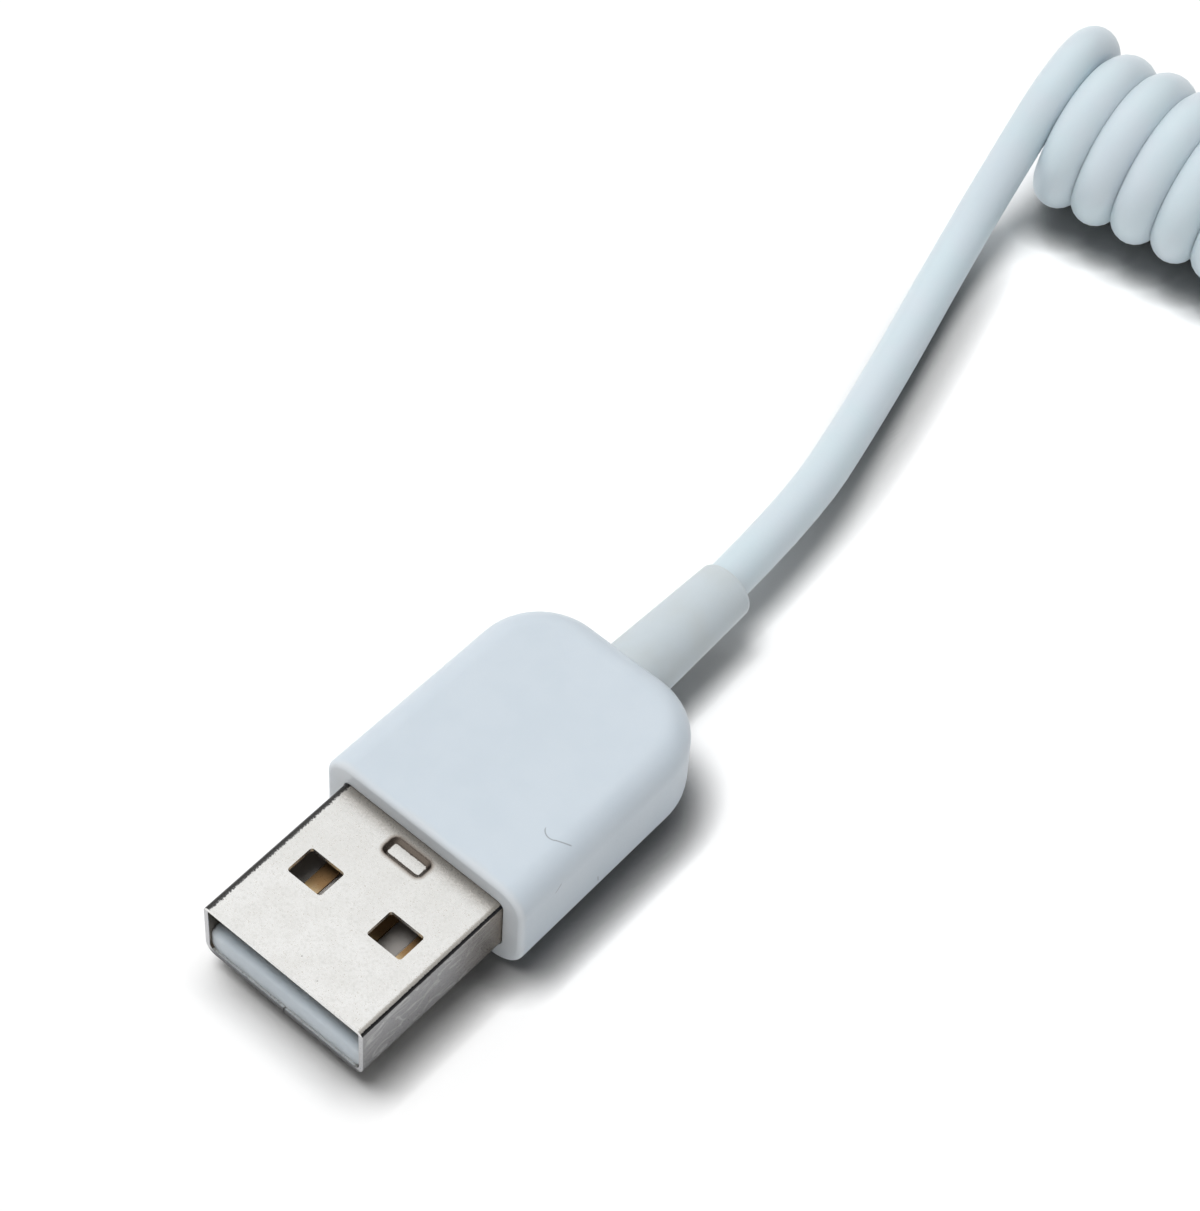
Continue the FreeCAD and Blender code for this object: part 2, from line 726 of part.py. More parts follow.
def plug_sizes(size):
    front = -size.plug_exposed
    shell = SimpleNamespace(width=size.plug_shell_width, height=size.plug_shell_height, front=front,
                            rear=size.plug_seated)
    inner_half = size.plug_shell_height / 2 - size.shell_sheet
    tongue = SimpleNamespace(
        width=size.plug_shell_width - (size.shell_sheet + size.slip) * 2,
        thickness=inner_half - size.slip - size.plug_tongue_face,
        face=size.plug_tongue_face,
        front=front + size.plug_tongue_recess,
        block_front=size.plug_block_front,
        power_front=front + size.plug_power_from_tip,
        data_front=front + size.plug_data_from_tip,
    )
    walls = SimpleNamespace(side=size.plug_side_wall, top=size.plug_top_wall)
    plug = Connector(size, "plug", 1, shell, tongue, walls)
    turn = size.plug_heading - 90
    half = plug.length / 2
    plug.axes = Axes(size.plug_heading, half * sine(turn), -half * cosine(turn), plug.height / 2)
    return plug


def socket_sizes(size, coil_axes, coil_length):
    front = -size.socket_proud
    shell = SimpleNamespace(
        width=size.socket_inner_width + size.shell_sheet * 2,
        height=size.socket_inner_height + size.shell_sheet * 2,
        front=front,
        rear=size.socket_seated,
    )
    tongue = SimpleNamespace(
        width=size.socket_tongue_width,
        thickness=size.socket_tongue_thickness,
        face=size.socket_tongue_face,
        front=front + size.socket_tongue_recess,
        block_front=size.socket_block_front,
        power_front=front + size.socket_power_from_rim,
        data_front=front + size.socket_data_from_rim,
    )
    walls = SimpleNamespace(side=size.socket_side_wall, top=size.socket_top_wall)
    socket = Connector(size, "socket", -1, shell, tongue, walls)
    back = coil_length - TAIL_BACK - size.tail_straight - socket.relief_end
    x, y, _ = coil_axes.point(TAIL_OUT, back)
    socket.axes = Axes(size.coil_heading, x, y, socket.height / 2)
    return socket


# The cord

def make_coil(doc, size, coil_axes, coil_length):
    """The coil's outer form."""
    body = new_body(doc, "coil")
    section = new_sketch(body, "coil_section", "XZ_Plane", -size.cord_diameter / 2)
    draw_circle(section, size.coil_diameter)
    pad_back(body, "coil_form", section, coil_length + size.cord_diameter)
    coil_axes.carry(body)
    return body


def make_lead(doc, size, plug, coil_axes, winding):
    """The straight lead, from the plug's crimp up to the top of the coil's first turn."""
    points = [plug.axes.point(0, plug.sheath_end), plug.axes.point(0, plug.relief_end + size.lead_straight)]
    start_x, start_y, _ = coil_axes.point(0, 0)
    points += [(start_x + x, start_y + y, height) for x, y, height in LEAD_BENDS]
    points.append(coil_axes.point(0, 0, winding))
    return make_tube(doc, "plug_lead", points, size.cord_diameter)


def make_tail(doc, size, socket, coil_axes, coil_length, winding):
    """The tail, from under the coil's last turn round into the socket."""
    points = [coil_axes.point(0, coil_length, -winding)]
    for out, back, height in TAIL_BENDS:
        x, y, _ = coil_axes.point(out, coil_length - back)
        points.append((x, y, height))
    points.append(socket.axes.point(0, socket.relief_end + size.tail_straight))
    points.append(socket.axes.point(0, socket.sheath_end))
    return make_tube(doc, "socket_lead", points, size.cord_diameter)


def check(doc, pieces):
    """Stops before anything is written if an object failed or a piece isn't one sound solid."""
    for thing in doc.Objects:
        if "Invalid" in thing.State or "Error" in thing.State:
            raise RuntimeError("%s failed: %s" % (thing.Label, thing.State))
    for piece in pieces:
        shape = piece.Shape
        if shape.isNull() or not shape.isValid() or len(shape.Solids) != 1:
            raise RuntimeError("%s isn't one sound solid" % piece.Label)


def main():
    doc = FreeCAD.newDocument("coiled_cable")
    size = fill_sheet(doc)
    coil_length = size.coil_turns * size.coil_pitch
    winding = (size.coil_diameter - size.cord_diameter) / 2
    coil_axes = Axes(size.coil_heading, size.coil_start_x, size.coil_start_y, size.coil_diameter / 2)
    plug = plug_sizes(size)
    socket = socket_sizes(size, coil_axes, coil_length)
    pieces = make_connector(doc, size, plug, make_plug_shell)
    pieces += make_connector(doc, size, socket, make_socket_shell)
    pieces.append(make_lead(doc, size, plug, coil_axes, winding))
    pieces.append(make_coil(doc, size, coil_axes, coil_length))
    pieces.append(make_tail(doc, size, socket, coil_axes, coil_length, winding))
    doc.recompute()
    check(doc, pieces)
    os.makedirs("parts", exist_ok=True)
    for piece in pieces:
        piece.Shape.exportStep(os.path.join("parts", piece.Label + ".step"))
    print("%d pieces" % len(pieces))


main()
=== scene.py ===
import math

import bpy
from mathutils import Matrix, Vector


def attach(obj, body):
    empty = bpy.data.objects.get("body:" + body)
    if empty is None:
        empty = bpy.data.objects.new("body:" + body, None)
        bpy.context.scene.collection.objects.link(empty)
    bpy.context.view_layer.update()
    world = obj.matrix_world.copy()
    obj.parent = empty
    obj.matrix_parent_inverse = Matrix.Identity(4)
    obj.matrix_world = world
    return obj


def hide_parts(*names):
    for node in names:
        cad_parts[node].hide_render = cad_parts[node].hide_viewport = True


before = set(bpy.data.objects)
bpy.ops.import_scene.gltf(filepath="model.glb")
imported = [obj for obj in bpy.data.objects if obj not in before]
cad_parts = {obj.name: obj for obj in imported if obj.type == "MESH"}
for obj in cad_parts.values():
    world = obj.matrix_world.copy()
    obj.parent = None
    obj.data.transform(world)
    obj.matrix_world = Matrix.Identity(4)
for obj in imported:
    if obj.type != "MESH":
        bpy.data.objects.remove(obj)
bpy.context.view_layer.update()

# Sizes in metres, from the cable's construction
MM = 0.001
CORD_DIAMETER = 2.74 * MM
# A hair under the solid coil's size, so that no turn passes its box
COIL_DIAMETER = 11.05 * MM
COIL_PITCH = 2.87 * MM
COIL_TURNS = 30.5
COIL_HEADING = math.radians(-30)
COIL_START = (0.03227, 0.05117)
# From the plug's crimp down to the floor, up to the coil and over the crest of its first turn
LEAD_POINTS = [
    (0.00222, 0.00264, 0.00365),
    (0.01460, 0.01740, 0.00365),
    (0.02057, 0.03057, 0.00135),
    (0.02607, 0.04310, 0.00145),
    (0.02993, 0.04811, 0.00700),
    (0.03155, 0.04980, 0.00967),
    (0.03380, 0.05350, 0.00967),
    (0.03505, 0.05535, 0.00740),
]
# From under the coil's last turn to the socket's crimp
TAIL_POINTS = [
    (0.10383, 0.00004, 0.00190),
    (0.09603, -0.00446, 0.00310),
    (0.08655, -0.00448, 0.00421),
    (0.07036, 0.00487, 0.00421),
]
CORD_NODES = ("plug_lead", "coil", "socket_lead")
POINTS_PER_TURN = 12
# The lead brings the cord over the crest, so the first turn's own points start past it
FIRST_COIL_POINT = 4
# The first turn is pressed against the second, most at this point, where the lead passes it
PRESSED_POINT = 9
TURN_PRESS = 0.18 * MM
# The turns lie against each other, so the cord is drawn a little thicker there
COIL_SWELL = 1.15
STEPS_ALONG_CORD = 9
STEPS_ROUND_CORD = 9

# Where each connector's housing starts, in millimetres, and which way it points
PLUG_AXES = ((-5.5601, -6.6262, 3.65), math.radians(-40))
SOCKET_AXES = ((51.9996, 15.4727, 4.21), math.radians(-120))
# In the plug's own axes: half the shell's width and height, its sheet, its tip, and the pressed mark
SHELL_HALF_WIDTH = 6.0
SHELL_HALF_HEIGHT = 2.25
SHELL_SHEET = 0.3
SHELL_TIP = -11.2
MARK_MIDDLE = -1.3
MARK_HALF_WIDTH = 1.45
MARK_HALF_LENGTH = 0.65
MARK_CORNER = 0.40

# The photograph's camera
PHOTO_HEIGHT = 1211
FOCAL_PIXELS = 4018
SENSOR = 36
NEAREST_SEEN = 5 * MM
CAMERA_PLACE = (-0.000696, -0.127135, 0.19466)
CAMERA_HEADING = math.radians(-1.895)
CAMERA_TILT = math.radians(36.06)
CAMERA_ROLL = math.radians(4.22)


# The cord

def turn_press(number):
    """How far a point of the first turn is pressed along the coil."""
    return TURN_PRESS * max(0.0, 1 - abs(number - PRESSED_POINT) / (POINTS_PER_TURN / 2))


def coil_points():
    """Control points of the coil's turns, a little outside the cord's line, because a spline cuts inside."""
    along = Vector((math.cos(COIL_HEADING), math.sin(COIL_HEADING), 0))
    far = Vector((-along.y, along.x, 0))
    up = Vector((0, 0, 1))
    step = 2 * math.pi / POINTS_PER_TURN
    turn_radius = (COIL_DIAMETER - CORD_DIAMETER * COIL_SWELL) / 2
    radius = turn_radius * 4 / (3 + math.cos(step))
    start = Vector((*COIL_START, COIL_DIAMETER / 2))
    points = []
    for number in range(FIRST_COIL_POINT, round(COIL_TURNS * POINTS_PER_TURN) + 1):
        angle = number * step
        place = start + along * (COIL_PITCH * number / POINTS_PER_TURN + turn_press(number))
        points.append(place + (far * math.sin(angle) + up * math.cos(angle)) * radius)
    return points


def make_cord():
    """The whole cord on one spline: the lead, the coil's turns and the tail."""
    lead = [(*point, 1.0) for point in LEAD_POINTS]
    turns = [(*point, COIL_SWELL) for point in coil_points()]
    tail = [(*point, 1.0) for point in TAIL_POINTS]
    route = lead + turns + tail
    curve = bpy.data.curves.new("cord", "CURVE")
    curve.dimensions = "3D"
    spline = curve.splines.new("NURBS")
    spline.points.add(len(route) - 1)
    for point, (x, y, z, swell) in zip(spline.points, route):
        point.co = (x, y, z, 1)
        point.radius = swell
    spline.order_u = 3
    spline.use_endpoint_u = True
    spline.resolution_u = STEPS_ALONG_CORD
    curve.bevel_depth = CORD_DIAMETER / 2
    curve.bevel_resolution = STEPS_ROUND_CORD
    curve.use_fill_caps = True
    cord = bpy.data.objects.new("cord", curve)
    bpy.context.scene.collection.objects.link(cord)
    return cord


# Short ways to lay out nodes

# Places of the colour sockets on a Mix node
MIX_AMOUNT = 0
MIX_FIRST_COLOUR = 6
MIX_SECOND_COLOUR = 7
MIXED_COLOUR = 2


def put(value, tree, socket):
    """Gives a socket a number, a colour or another node's output."""
    if isinstance(value, bpy.types.NodeSocket):
        tree.links.new(value, socket)
    else:
        socket.default_value = value


def node(tree, kind, settings=None, **inputs):
    """A new node, with its settings and its inputs by name."""
    made = tree.nodes.new("ShaderNode" + kind)
    for name, value in (settings or {}).items():
        setattr(made, name, value)
    for name, value in inputs.items():
        put(value, tree, made.inputs[name.replace("_", " ")])
    return made


def calculate(tree, operation, first, second=0.0, third=0.0):
    made = node(tree, "Math", {"operation": operation})
    for socket, value in zip(made.inputs, (first, second, third)):
        put(value, tree, socket)
    return made.outputs[0]


def product(tree, *factors):
    """All the factors multiplied."""
    total = factors[0]
    for factor in factors[1:]:
        total = calculate(tree, "MULTIPLY", total, factor)
    return total


def calculate_vector(tree, operation, first, second):
    """The outputs of a vector operation, whose Vector or Value is then read."""
    made = node(tree, "VectorMath", {"operation": operation})
    put(first, tree, made.inputs[0])
    put(second, tree, made.inputs[1])
    return made.outputs


def ramp(tree, value, low, high, start=0.0, end=1.0):
    """A smooth step from start to end while a value goes from low to high."""
    made = node(tree, "MapRange", {"interpolation_type": "SMOOTHSTEP"}, Value=value, From_Min=low,
                From_Max=high, To_Min=start, To_Max=end)
    return made.outputs["Result"]


def blend_colours(tree, amount, first, second):
    made = node(tree, "Mix", {"data_type": "RGBA"})
    put(amount, tree, made.inputs[MIX_AMOUNT])
    put(first, tree, made.inputs[MIX_FIRST_COLOUR])
    put(second, tree, made.inputs[MIX_SECOND_COLOUR])
    return made.outputs[MIXED_COLOUR]


def new_group(name, inputs, outputs):
    """An empty node group. Returns it with its own tree's ends."""
    group = bpy.data.node_groups.new(name, "ShaderNodeTree")
    for label, kind in inputs:
        group.interface.new_socket(label, in_out="INPUT", socket_type="NodeSocket" + kind)
    for label, kind in outputs:
        group.interface.new_socket(label, in_out="OUTPUT", socket_type="NodeSocket" + kind)
    enter = group.nodes.new("NodeGroupInput").outputs
    leave = group.nodes.new("NodeGroupOutput").inputs
    return group, enter, leave


def use_group(tree, group, **inputs):
    made = tree.nodes.new("ShaderNodeGroup")
    made.node_tree = group
    for name, value in inputs.items():
        put(value, tree, made.inputs[name.replace("_", " ")])
    return made.outputs


# Effects that several finishes share

# The drift of tone is this much less fine than the grain
DRIFT_FINENESS = 0.06
# How finely rubbed lines sway, how far, how drawn out they are, and how finely they come and go
SWAY_FINENESS = 0.35
SWAY = (1.6, 1.6, 1.6)
DRAWN_OUT = (1.0, 0.12, 1.0)
PATCH_FINENESS = 0.9
# A hair scratch is full over this share of its reach
FULL_REACH = 0.75


def make_grain_group():
    """Fine grain: a height for bump, and a slower drift of tone."""
    group, enter, leave = new_group("fine_grain", [("Place", "Vector"), ("Size", "Float")],
                                    [("Height", "Float"), ("Drift", "Float")])
    fineness = calculate(group, "DIVIDE", 1.0, enter["Size"])
    fine = node(group, "TexNoise", Vector=enter["Place"], Scale=fineness, Detail=2.0, Roughness=0.6)
    slow_fineness = calculate(group, "MULTIPLY", fineness, DRIFT_FINENESS)
    slow = node(group, "TexNoise", Vector=enter["Place"], Scale=slow_fineness, Detail=3.0, Roughness=0.5)
    put(fine.outputs[0], group, leave["Height"])
    put(slow.outputs[0], group, leave["Drift"])
    return group


def make_speck_group():
    """Scattered specks: some cells of a foam hold one each."""
    group, enter, leave = new_group("specks", [("Place", "Vector"), ("Spacing", "Float"), ("Size", "Float"),
                                               ("Share", "Float")], [("Mask", "Float")])
    fineness = calculate(group, "DIVIDE", 1.0, enter["Spacing"])
    cells = node(group, "TexVoronoi", Vector=enter["Place"], Scale=fineness)
    distance = calculate(group, "MULTIPLY", cells.outputs["Distance"], enter["Spacing"])
    near = node(group, "MapRange", Value=distance, From_Min=enter["Size"], From_Max=0.0)
    draw = node(group, "SeparateColor", Color=cells.outputs["Color"])
    chosen = calculate(group, "LESS_THAN", draw.outputs[0], enter["Share"])
    put(calculate(group, "MULTIPLY", near.outputs[0], chosen), group, leave["Mask"])
    return group


def make_rubbing_group():
    """Rubbing: thin, wavering lines that run along Y and come and go."""
    group, enter, leave = new_group("rubbing", [("Place", "Vector"), ("Spacing", "Float"),
                                                ("Width", "Float"), ("Share", "Float")], [("Mask", "Float")])
    sway = node(group, "TexNoise", Vector=enter["Place"], Scale=SWAY_FINENESS, Detail=1.0)
    swayed = node(group, "VectorMath", {"operation": "MULTIPLY_ADD"})
    put(sway.outputs["Color"], group, swayed.inputs[0])
    put(SWAY, group, swayed.inputs[1])
    put(enter["Place"], group, swayed.inputs[2])
    drawn_out = calculate_vector(group, "MULTIPLY", swayed.outputs[0], DRAWN_OUT)
    fineness = calculate(group, "DIVIDE", 1.0, enter["Spacing"])
    cells = node(group, "TexVoronoi", {"feature": "DISTANCE_TO_EDGE"}, Vector=drawn_out["Vector"],
                 Scale=fineness)
    distance = calculate(group, "MULTIPLY", cells.outputs["Distance"], enter["Spacing"])
    line = node(group, "MapRange", Value=distance, From_Min=enter["Width"], From_Max=0.0)
    patches = node(group, "TexNoise", Vector=enter["Place"], Scale=PATCH_FINENESS, Detail=2.0)
    keep = calculate(group, "LESS_THAN", patches.outputs[0], enter["Share"])
    put(calculate(group, "MULTIPLY", line.outputs[0], keep), group, leave["Mask"])
    return group


def make_hairline_group():
    """One hair scratch: an arc about a centre, kept within reach of its own middle."""
    group, enter, leave = new_group("hairline", [("Place", "Vector"), ("Centre", "Vector"),
                                                 ("Radius", "Float"), ("Middle", "Vector"),
                                                 ("Reach", "Float"), ("Width", "Float")],
                                    [("Mask", "Float")])
    from_centre = calculate_vector(group, "DISTANCE", enter["Place"], enter["Centre"])["Value"]
    off_arc = calculate(group, "ABSOLUTE", calculate(group, "SUBTRACT", from_centre, enter["Radius"]))
    line = node(group, "MapRange", Value=off_arc, From_Min=enter["Width"], From_Max=0.0)
    from_middle = calculate_vector(group, "DISTANCE", enter["Place"], enter["Middle"])["Value"]
    full_to = calculate(group, "MULTIPLY", enter["Reach"], FULL_REACH)
    near = node(group, "MapRange", Value=from_middle, From_Min=enter["Reach"], From_Max=full_to)
    put(calculate(group, "MULTIPLY", line.outputs[0], near.outputs[0]), group, leave["Mask"])
    return group


GRAIN = make_grain_group()
SPECKS = make_speck_group()
RUBBING = make_rubbing_group()
HAIRLINE = make_hairline_group()


# Finishes

# Between which values of the noise the drift and the grain go from none to full
DRIFT_RANGE = (0.35, 0.65)
GRAIN_RANGE = (0.3, 0.7)
GRAIN_MIDDLE = 0.5


class LayeredFinish:
    """A finish in the making: its nodes, and the colour that later layers go over."""

    def __init__(self, material, tree, shader, where, grain, tint):
        self.material = material
        self.tree = tree
        self.shader = shader
        self.where = where
        self.grain = grain
        self.tint = tint

    def cover(self, amount, colour):
        """Lays another colour over what is there, where the amount says."""
        self.tint = blend_colours(self.tree, amount, self.tint, colour)

    def done(self):
        put(self.tint, self.tree, self.shader.inputs["Base Color"])
        return self.material


def new_finish(name):
    material = bpy.data.materials.new(name)
    material.use_nodes = True
    tree = material.node_tree
    return material, tree, tree.nodes["Principled BSDF"]


def millimetres(tree, axes):
    """Coordinates in millimetres along the axes of a connector."""
    place, turn = axes
    back = Matrix.Rotation(-turn, 3, "Z")
    where = node(tree, "TexCoord").outputs["Object"]
    made = node(tree, "Mapping", Vector=where, Location=-(back @ Vector(place)), Rotation=(0, 0, -turn),
                Scale=(1 / MM, 1 / MM, 1 / MM))
    return made.outputs[0]


def along_axes(tree, where):
    parts = node(tree, "SeparateXYZ", Vector=where).outputs
    return parts["X"], parts["Y"], parts["Z"]


# Plastics

GLOSS_SPREAD = 0.05
PLASTIC_GRAIN_HEIGHT = 0.02 * MM
THIN_MILK = 0.4 * MM


def start_plastic(name, axes, colour, drift_colour, roughness, grain_size, grain_depth, milkiness=0.0,
                  milk_depth=THIN_MILK):
    """Moulded plastic: a soft gloss, fine grain, a slow drift of tone, some milkiness below the surface."""
    material, tree, shader = new_finish(name)
    where = millimetres(tree, axes)
    grain = use_group(tree, GRAIN, Place=where, Size=grain_size)
    drift = ramp(tree, grain["Drift"], *DRIFT_RANGE)
    tint = blend_colours(tree, drift, (*colour, 1), (*drift_colour, 1))
    gloss = ramp(tree, grain["Height"], *GRAIN_RANGE, roughness - GLOSS_SPREAD, roughness + GLOSS_SPREAD)
    put(gloss, tree, shader.inputs["Roughness"])
    bump = node(tree, "Bump", Strength=grain_depth, Distance=PLASTIC_GRAIN_HEIGHT, Height=grain["Height"])
    put(bump.outputs[0], tree, shader.inputs["Normal"])
    shader.inputs["Subsurface Weight"].default_value = milkiness
    shader.inputs["Subsurface Radius"].default_value = (1.0, 1.0, 1.0)
    shader.inputs["Subsurface Scale"].default_value = milk_depth
    return LayeredFinish(material, tree, shader, where, grain, tint)


def make_plastic(name, axes, **look):
    return start_plastic(name, axes, **look).done()


HOUSING_PLASTIC = {
    "colour": (0.62, 0.685, 0.742),
    "drift_colour": (0.605, 0.672, 0.73),
    "roughness": 0.38,
    "grain_size": 0.16,
    "grain_depth": 0.25,
    "milkiness": 0.6,
}
RELIEF_PLASTIC = {
    "colour": (0.575, 0.635, 0.67),
    "drift_colour": (0.565, 0.615, 0.635),
    "roughness": 0.55,
    "grain_size": 0.16,
    "grain_depth": 0.35,
    "milkiness": 0.6,
}
CORD_PLASTIC = {
    "colour": (0.607, 0.70, 0.743),
    "drift_colour": (0.618, 0.692, 0.740),
    "roughness": 0.36,
    "grain_size": 0.2,
    "grain_depth": 0.2,
    "milkiness": 0.7,
    "milk_depth": 0.9 * MM,
}
PLUG_TONGUE_PLASTIC = {
    "colour": (0.48, 0.535, 0.578),
    "drift_colour": (0.463, 0.517, 0.56),
    "roughness": 0.35,
    "grain_size": 0.2,
    "grain_depth": 0.15,
    "milkiness": 1.0,
    "milk_depth": 1.5 * MM,
}
SOCKET_TONGUE_PLASTIC = {
    "colour": (0.66, 0.72, 0.78),
    "drift_colour": (0.63, 0.69, 0.75),
    "roughness": 0.35,
    "grain_size": 0.2,
    "grain_depth": 0.15,
}
INNER_MOULD_PLASTIC = {
    "colour": (0.50, 0.52, 0.50),
    "drift_colour": (0.47, 0.49, 0.47),
    "roughness": 0.5,
    "grain_size": 0.3,
    "grain_depth": 0.3,
}
CORE_SURFACE = {
    "roughness": 0.4,
    "grain_size": 0.1,
    "grain_depth": 0.1,
}
# Each core's colour and the tone that it drifts to
CORE_COLOURS = {
    "core_black": ((0.02, 0.02, 0.02), (0.03, 0.03, 0.03)),
    "core_green": ((0.03, 0.22, 0.06), (0.04, 0.25, 0.08)),
    "core_white": ((0.70, 0.70, 0.68), (0.66, 0.66, 0.64)),
    "core_red": ((0.38, 0.02, 0.02), (0.42, 0.03, 0.03)),
}

# A beige tint where the shell enters the plug's housing: its colour, how strong, where it ends and starts
JOIN_BEIGE = (0.62, 0.58, 0.54, 1)
JOIN_BEIGE_AMOUNT = 0.30
JOIN_RAGGEDNESS = 0.8
JOIN_EDGE = (0.95, 0.40)
# Hair scratches on the plug's housing, in its own axes: centre, radius, middle, reach
HOUSING_HAIRLINES = [
    ((5.47, 4.96, 3.60), 0.64, (5.33, 4.34, 3.65), 0.64),
    ((3.04, 9.76, 3.48), 6.00, (6.22, 4.67, 3.48), 0.56),
    ((7.25, 1.32, 4.39), 3.00, (7.25, 3.06, 1.95), 0.40),
    ((7.25, 9.59, -0.86), 3.00, (7.25, 6.62, -1.20), 0.32),
]
HAIRLINE_GREY = (0.22, 0.24, 0.26, 1)
HAIRLINE_AMOUNT = 0.85
HAIRLINE_WIDTH = 0.055
# Painted shade: the plug's insulator is darker inside the shell, from just behind its front face
TONGUE_SHADE = (0.42, 0.40, 0.38, 1)
TONGUE_SHADE_SPAN = (SHELL_TIP + 0.4, SHELL_TIP + 1.4)


def make_plug_housing_plastic():
    """The plug's bluish white housing: a beige tint where the shell enters it, and a few hair scratches."""
    finish = start_plastic("plug_housing_plastic", PLUG_AXES, **HOUSING_PLASTIC)
    tree = finish.tree
    _, y, _ = along_axes(tree, finish.where)
    ragged = calculate(tree, "MULTIPLY_ADD", finish.grain["Drift"], JOIN_RAGGEDNESS, y)
    finish.cover(product(tree, ramp(tree, ragged, *JOIN_EDGE), JOIN_BEIGE_AMOUNT), JOIN_BEIGE)
    for centre, radius, middle, reach in HOUSING_HAIRLINES:
        line = use_group(tree, HAIRLINE, Place=finish.where, Centre=centre, Radius=radius, Middle=middle,
                         Reach=reach, Width=HAIRLINE_WIDTH)["Mask"]
        finish.cover(product(tree, line, HAIRLINE_AMOUNT), HAIRLINE_GREY)
    return finish.done()


def make_plug_tongue_plastic():
    """The plug's insulator: pale at its front face, with painted shade further in, inside the shell."""
    finish = start_plastic("plug_insulator", PLUG_AXES, **PLUG_TONGUE_PLASTIC)
    tree = finish.tree
    _, y, _ = along_axes(tree, finish.where)
    # Painted shade on the insulator inside the shell
    finish.cover(ramp(tree, y, *TONGUE_SHADE_SPAN), TONGUE_SHADE)
    return finish.done()


# Nickel

NICKEL = (0.84, 0.837, 0.822, 1)
NICKEL_DRIFT = (0.80, 0.795, 0.775, 1)
NICKEL_MOTTLE = (0.70, 0.695, 0.67, 1)
PIT_COLOUR = (0.20, 0.19, 0.18, 1)
# Painted reflections: over the folds, and a dark one on the folds, the left edge and the lower lip
FOLD_REFLECTION = (0.42, 0.38, 0.32, 1)
DARK_REFLECTION = (0.03, 0.03, 0.032, 1)
# Painted reflection of the housing's shaded front, and painted shade on the flanks
SHADE_REFLECTION_BROWN = (0.30, 0.25, 0.20, 1)
# Painted shadow round the pressed mark, and a painted dark reflection on its slopes
MARK_SHADOW_BROWN = (0.30, 0.25, 0.21, 1)
MARK_DARK = (0.045, 0.035, 0.03, 1)
# Painted shade inside the shell's tube
INNER_SHADE = (0.16, 0.125, 0.09, 1)
EDGE_GREY = (0.50, 0.50, 0.51, 1)
# Painted dark reflection on the shell's flanks
FLANK_DARK_REFLECTION = (0.19, 0.19, 0.20, 1)
# Bright nickel's grain and mottle in millimetres, with their ranges and strengths
NICKEL_GRAIN = 0.10
MOTTLE_SIZE = 0.2
MOTTLE_RANGE = (0.45, 0.75)
MOTTLE_AMOUNT = 0.6
NICKEL_GLOSS = (0.24, 0.42)
NICKEL_GRAIN_DEPTH = 0.45
NICKEL_GRAIN_HEIGHT = 0.012 * MM


def start_nickel(name, axes):
    """Bright nickel on pressed sheet: a satin grain, pits and a slow drift of tone."""
    material, tree, shader = new_finish(name)
    where = millimetres(tree, axes)
    grain = use_group(tree, GRAIN, Place=where, Size=NICKEL_GRAIN)
    drift = ramp(tree, grain["Drift"], *DRIFT_RANGE)
    bright = blend_colours(tree, drift, NICKEL, NICKEL_DRIFT)
    mottle = use_group(tree, GRAIN, Place=where, Size=MOTTLE_SIZE)["Height"]
    mottling = ramp(tree, mottle, *MOTTLE_RANGE, 0.0, MOTTLE_AMOUNT)
    mottled = blend_colours(tree, mottling, bright, NICKEL_MOTTLE)
    pits = use_group(tree, SPECKS, Place=where, Spacing=0.9, Size=0.07, Share=0.25)["Mask"]
    pitted = blend_colours(tree, pits, mottled, PIT_COLOUR)
    put(ramp(tree, grain["Height"], *GRAIN_RANGE, *NICKEL_GLOSS), tree, shader.inputs["Roughness"])
    shader.inputs["Metallic"].default_value = 1.0
    bump = node(tree, "Bump", Strength=NICKEL_GRAIN_DEPTH, Distance=NICKEL_GRAIN_HEIGHT,
                Height=grain["Height"])
    put(bump.outputs[0], tree, shader.inputs["Normal"])
    return LayeredFinish(material, tree, shader, where, grain, pitted)


def make_nickel(name, axes):
    return start_nickel(name, axes).done()


# Rubbed lines, a duller top, and painted reflections and shade on the plug's shell: where each kind starts
# and is full, in millimetres along the plug's axes
FLANK = (SHELL_HALF_WIDTH - 0.06, SHELL_HALF_WIDTH - 0.01)
DULL_TOWARDS_HOUSING = (SHELL_TIP + 2, 0.0)
HOUSING_REFLECTION_SPAN = (-1.5, 0.15)
FLANK_SHADE_SPAN = (-5.0, 0.0)
BLACK_LEFT_EDGE = (-5.48, -5.58)
TOP_SHEET = (SHELL_HALF_HEIGHT - 0.4, SHELL_HALF_HEIGHT - 0.3)
INNER_HEIGHT = (SHELL_HALF_HEIGHT - SHELL_SHEET + 0.04, SHELL_HALF_HEIGHT - SHELL_SHEET + 0.005)
INNER_WIDTH = (SHELL_HALF_WIDTH - SHELL_SHEET + 0.04, SHELL_HALF_WIDTH - SHELL_SHEET + 0.005)
DEEP_INSIDE = (SHELL_TIP + 1.0, SHELL_TIP + 2.0)
SIDE_WALL = (SHELL_HALF_WIDTH - 0.5, SHELL_HALF_WIDTH - 0.4)
FRONT_EDGE = (SHELL_TIP + 0.05, SHELL_TIP + 0.02)
BELOW_TOP_SHEET = (2.0, 1.9)
LOW_LIP = (-1.85, -2.05)
MARK_END = (MARK_HALF_WIDTH - 0.5, MARK_HALF_WIDTH - 0.1)
# The same for the pressed mark, by the distance outside its outline
MARK_SHADOW_OUTER_SPAN = (0.30, 0.0)
MARK_SHADOW_INNER_SPAN = (-0.32, -0.24)
MARK_SLOPE = (0.10, -0.02)
MARK_SLOPE_INSIDE = (-0.30, -0.26)
MARK_SLOPE_MIDDLE = 0.12
MARK_SLOPE_BORDER = (0.08, 0.14)
# And for the folds, by how level the surface is: 0 on a flank, 1 on top
FOLD_START = (0.30, 0.45)
FOLD_END = (1.07, 1.04)
FOLD_LINE = (0.86, 0.80)
NEARLY_LEVEL = (0.35, 0.5)
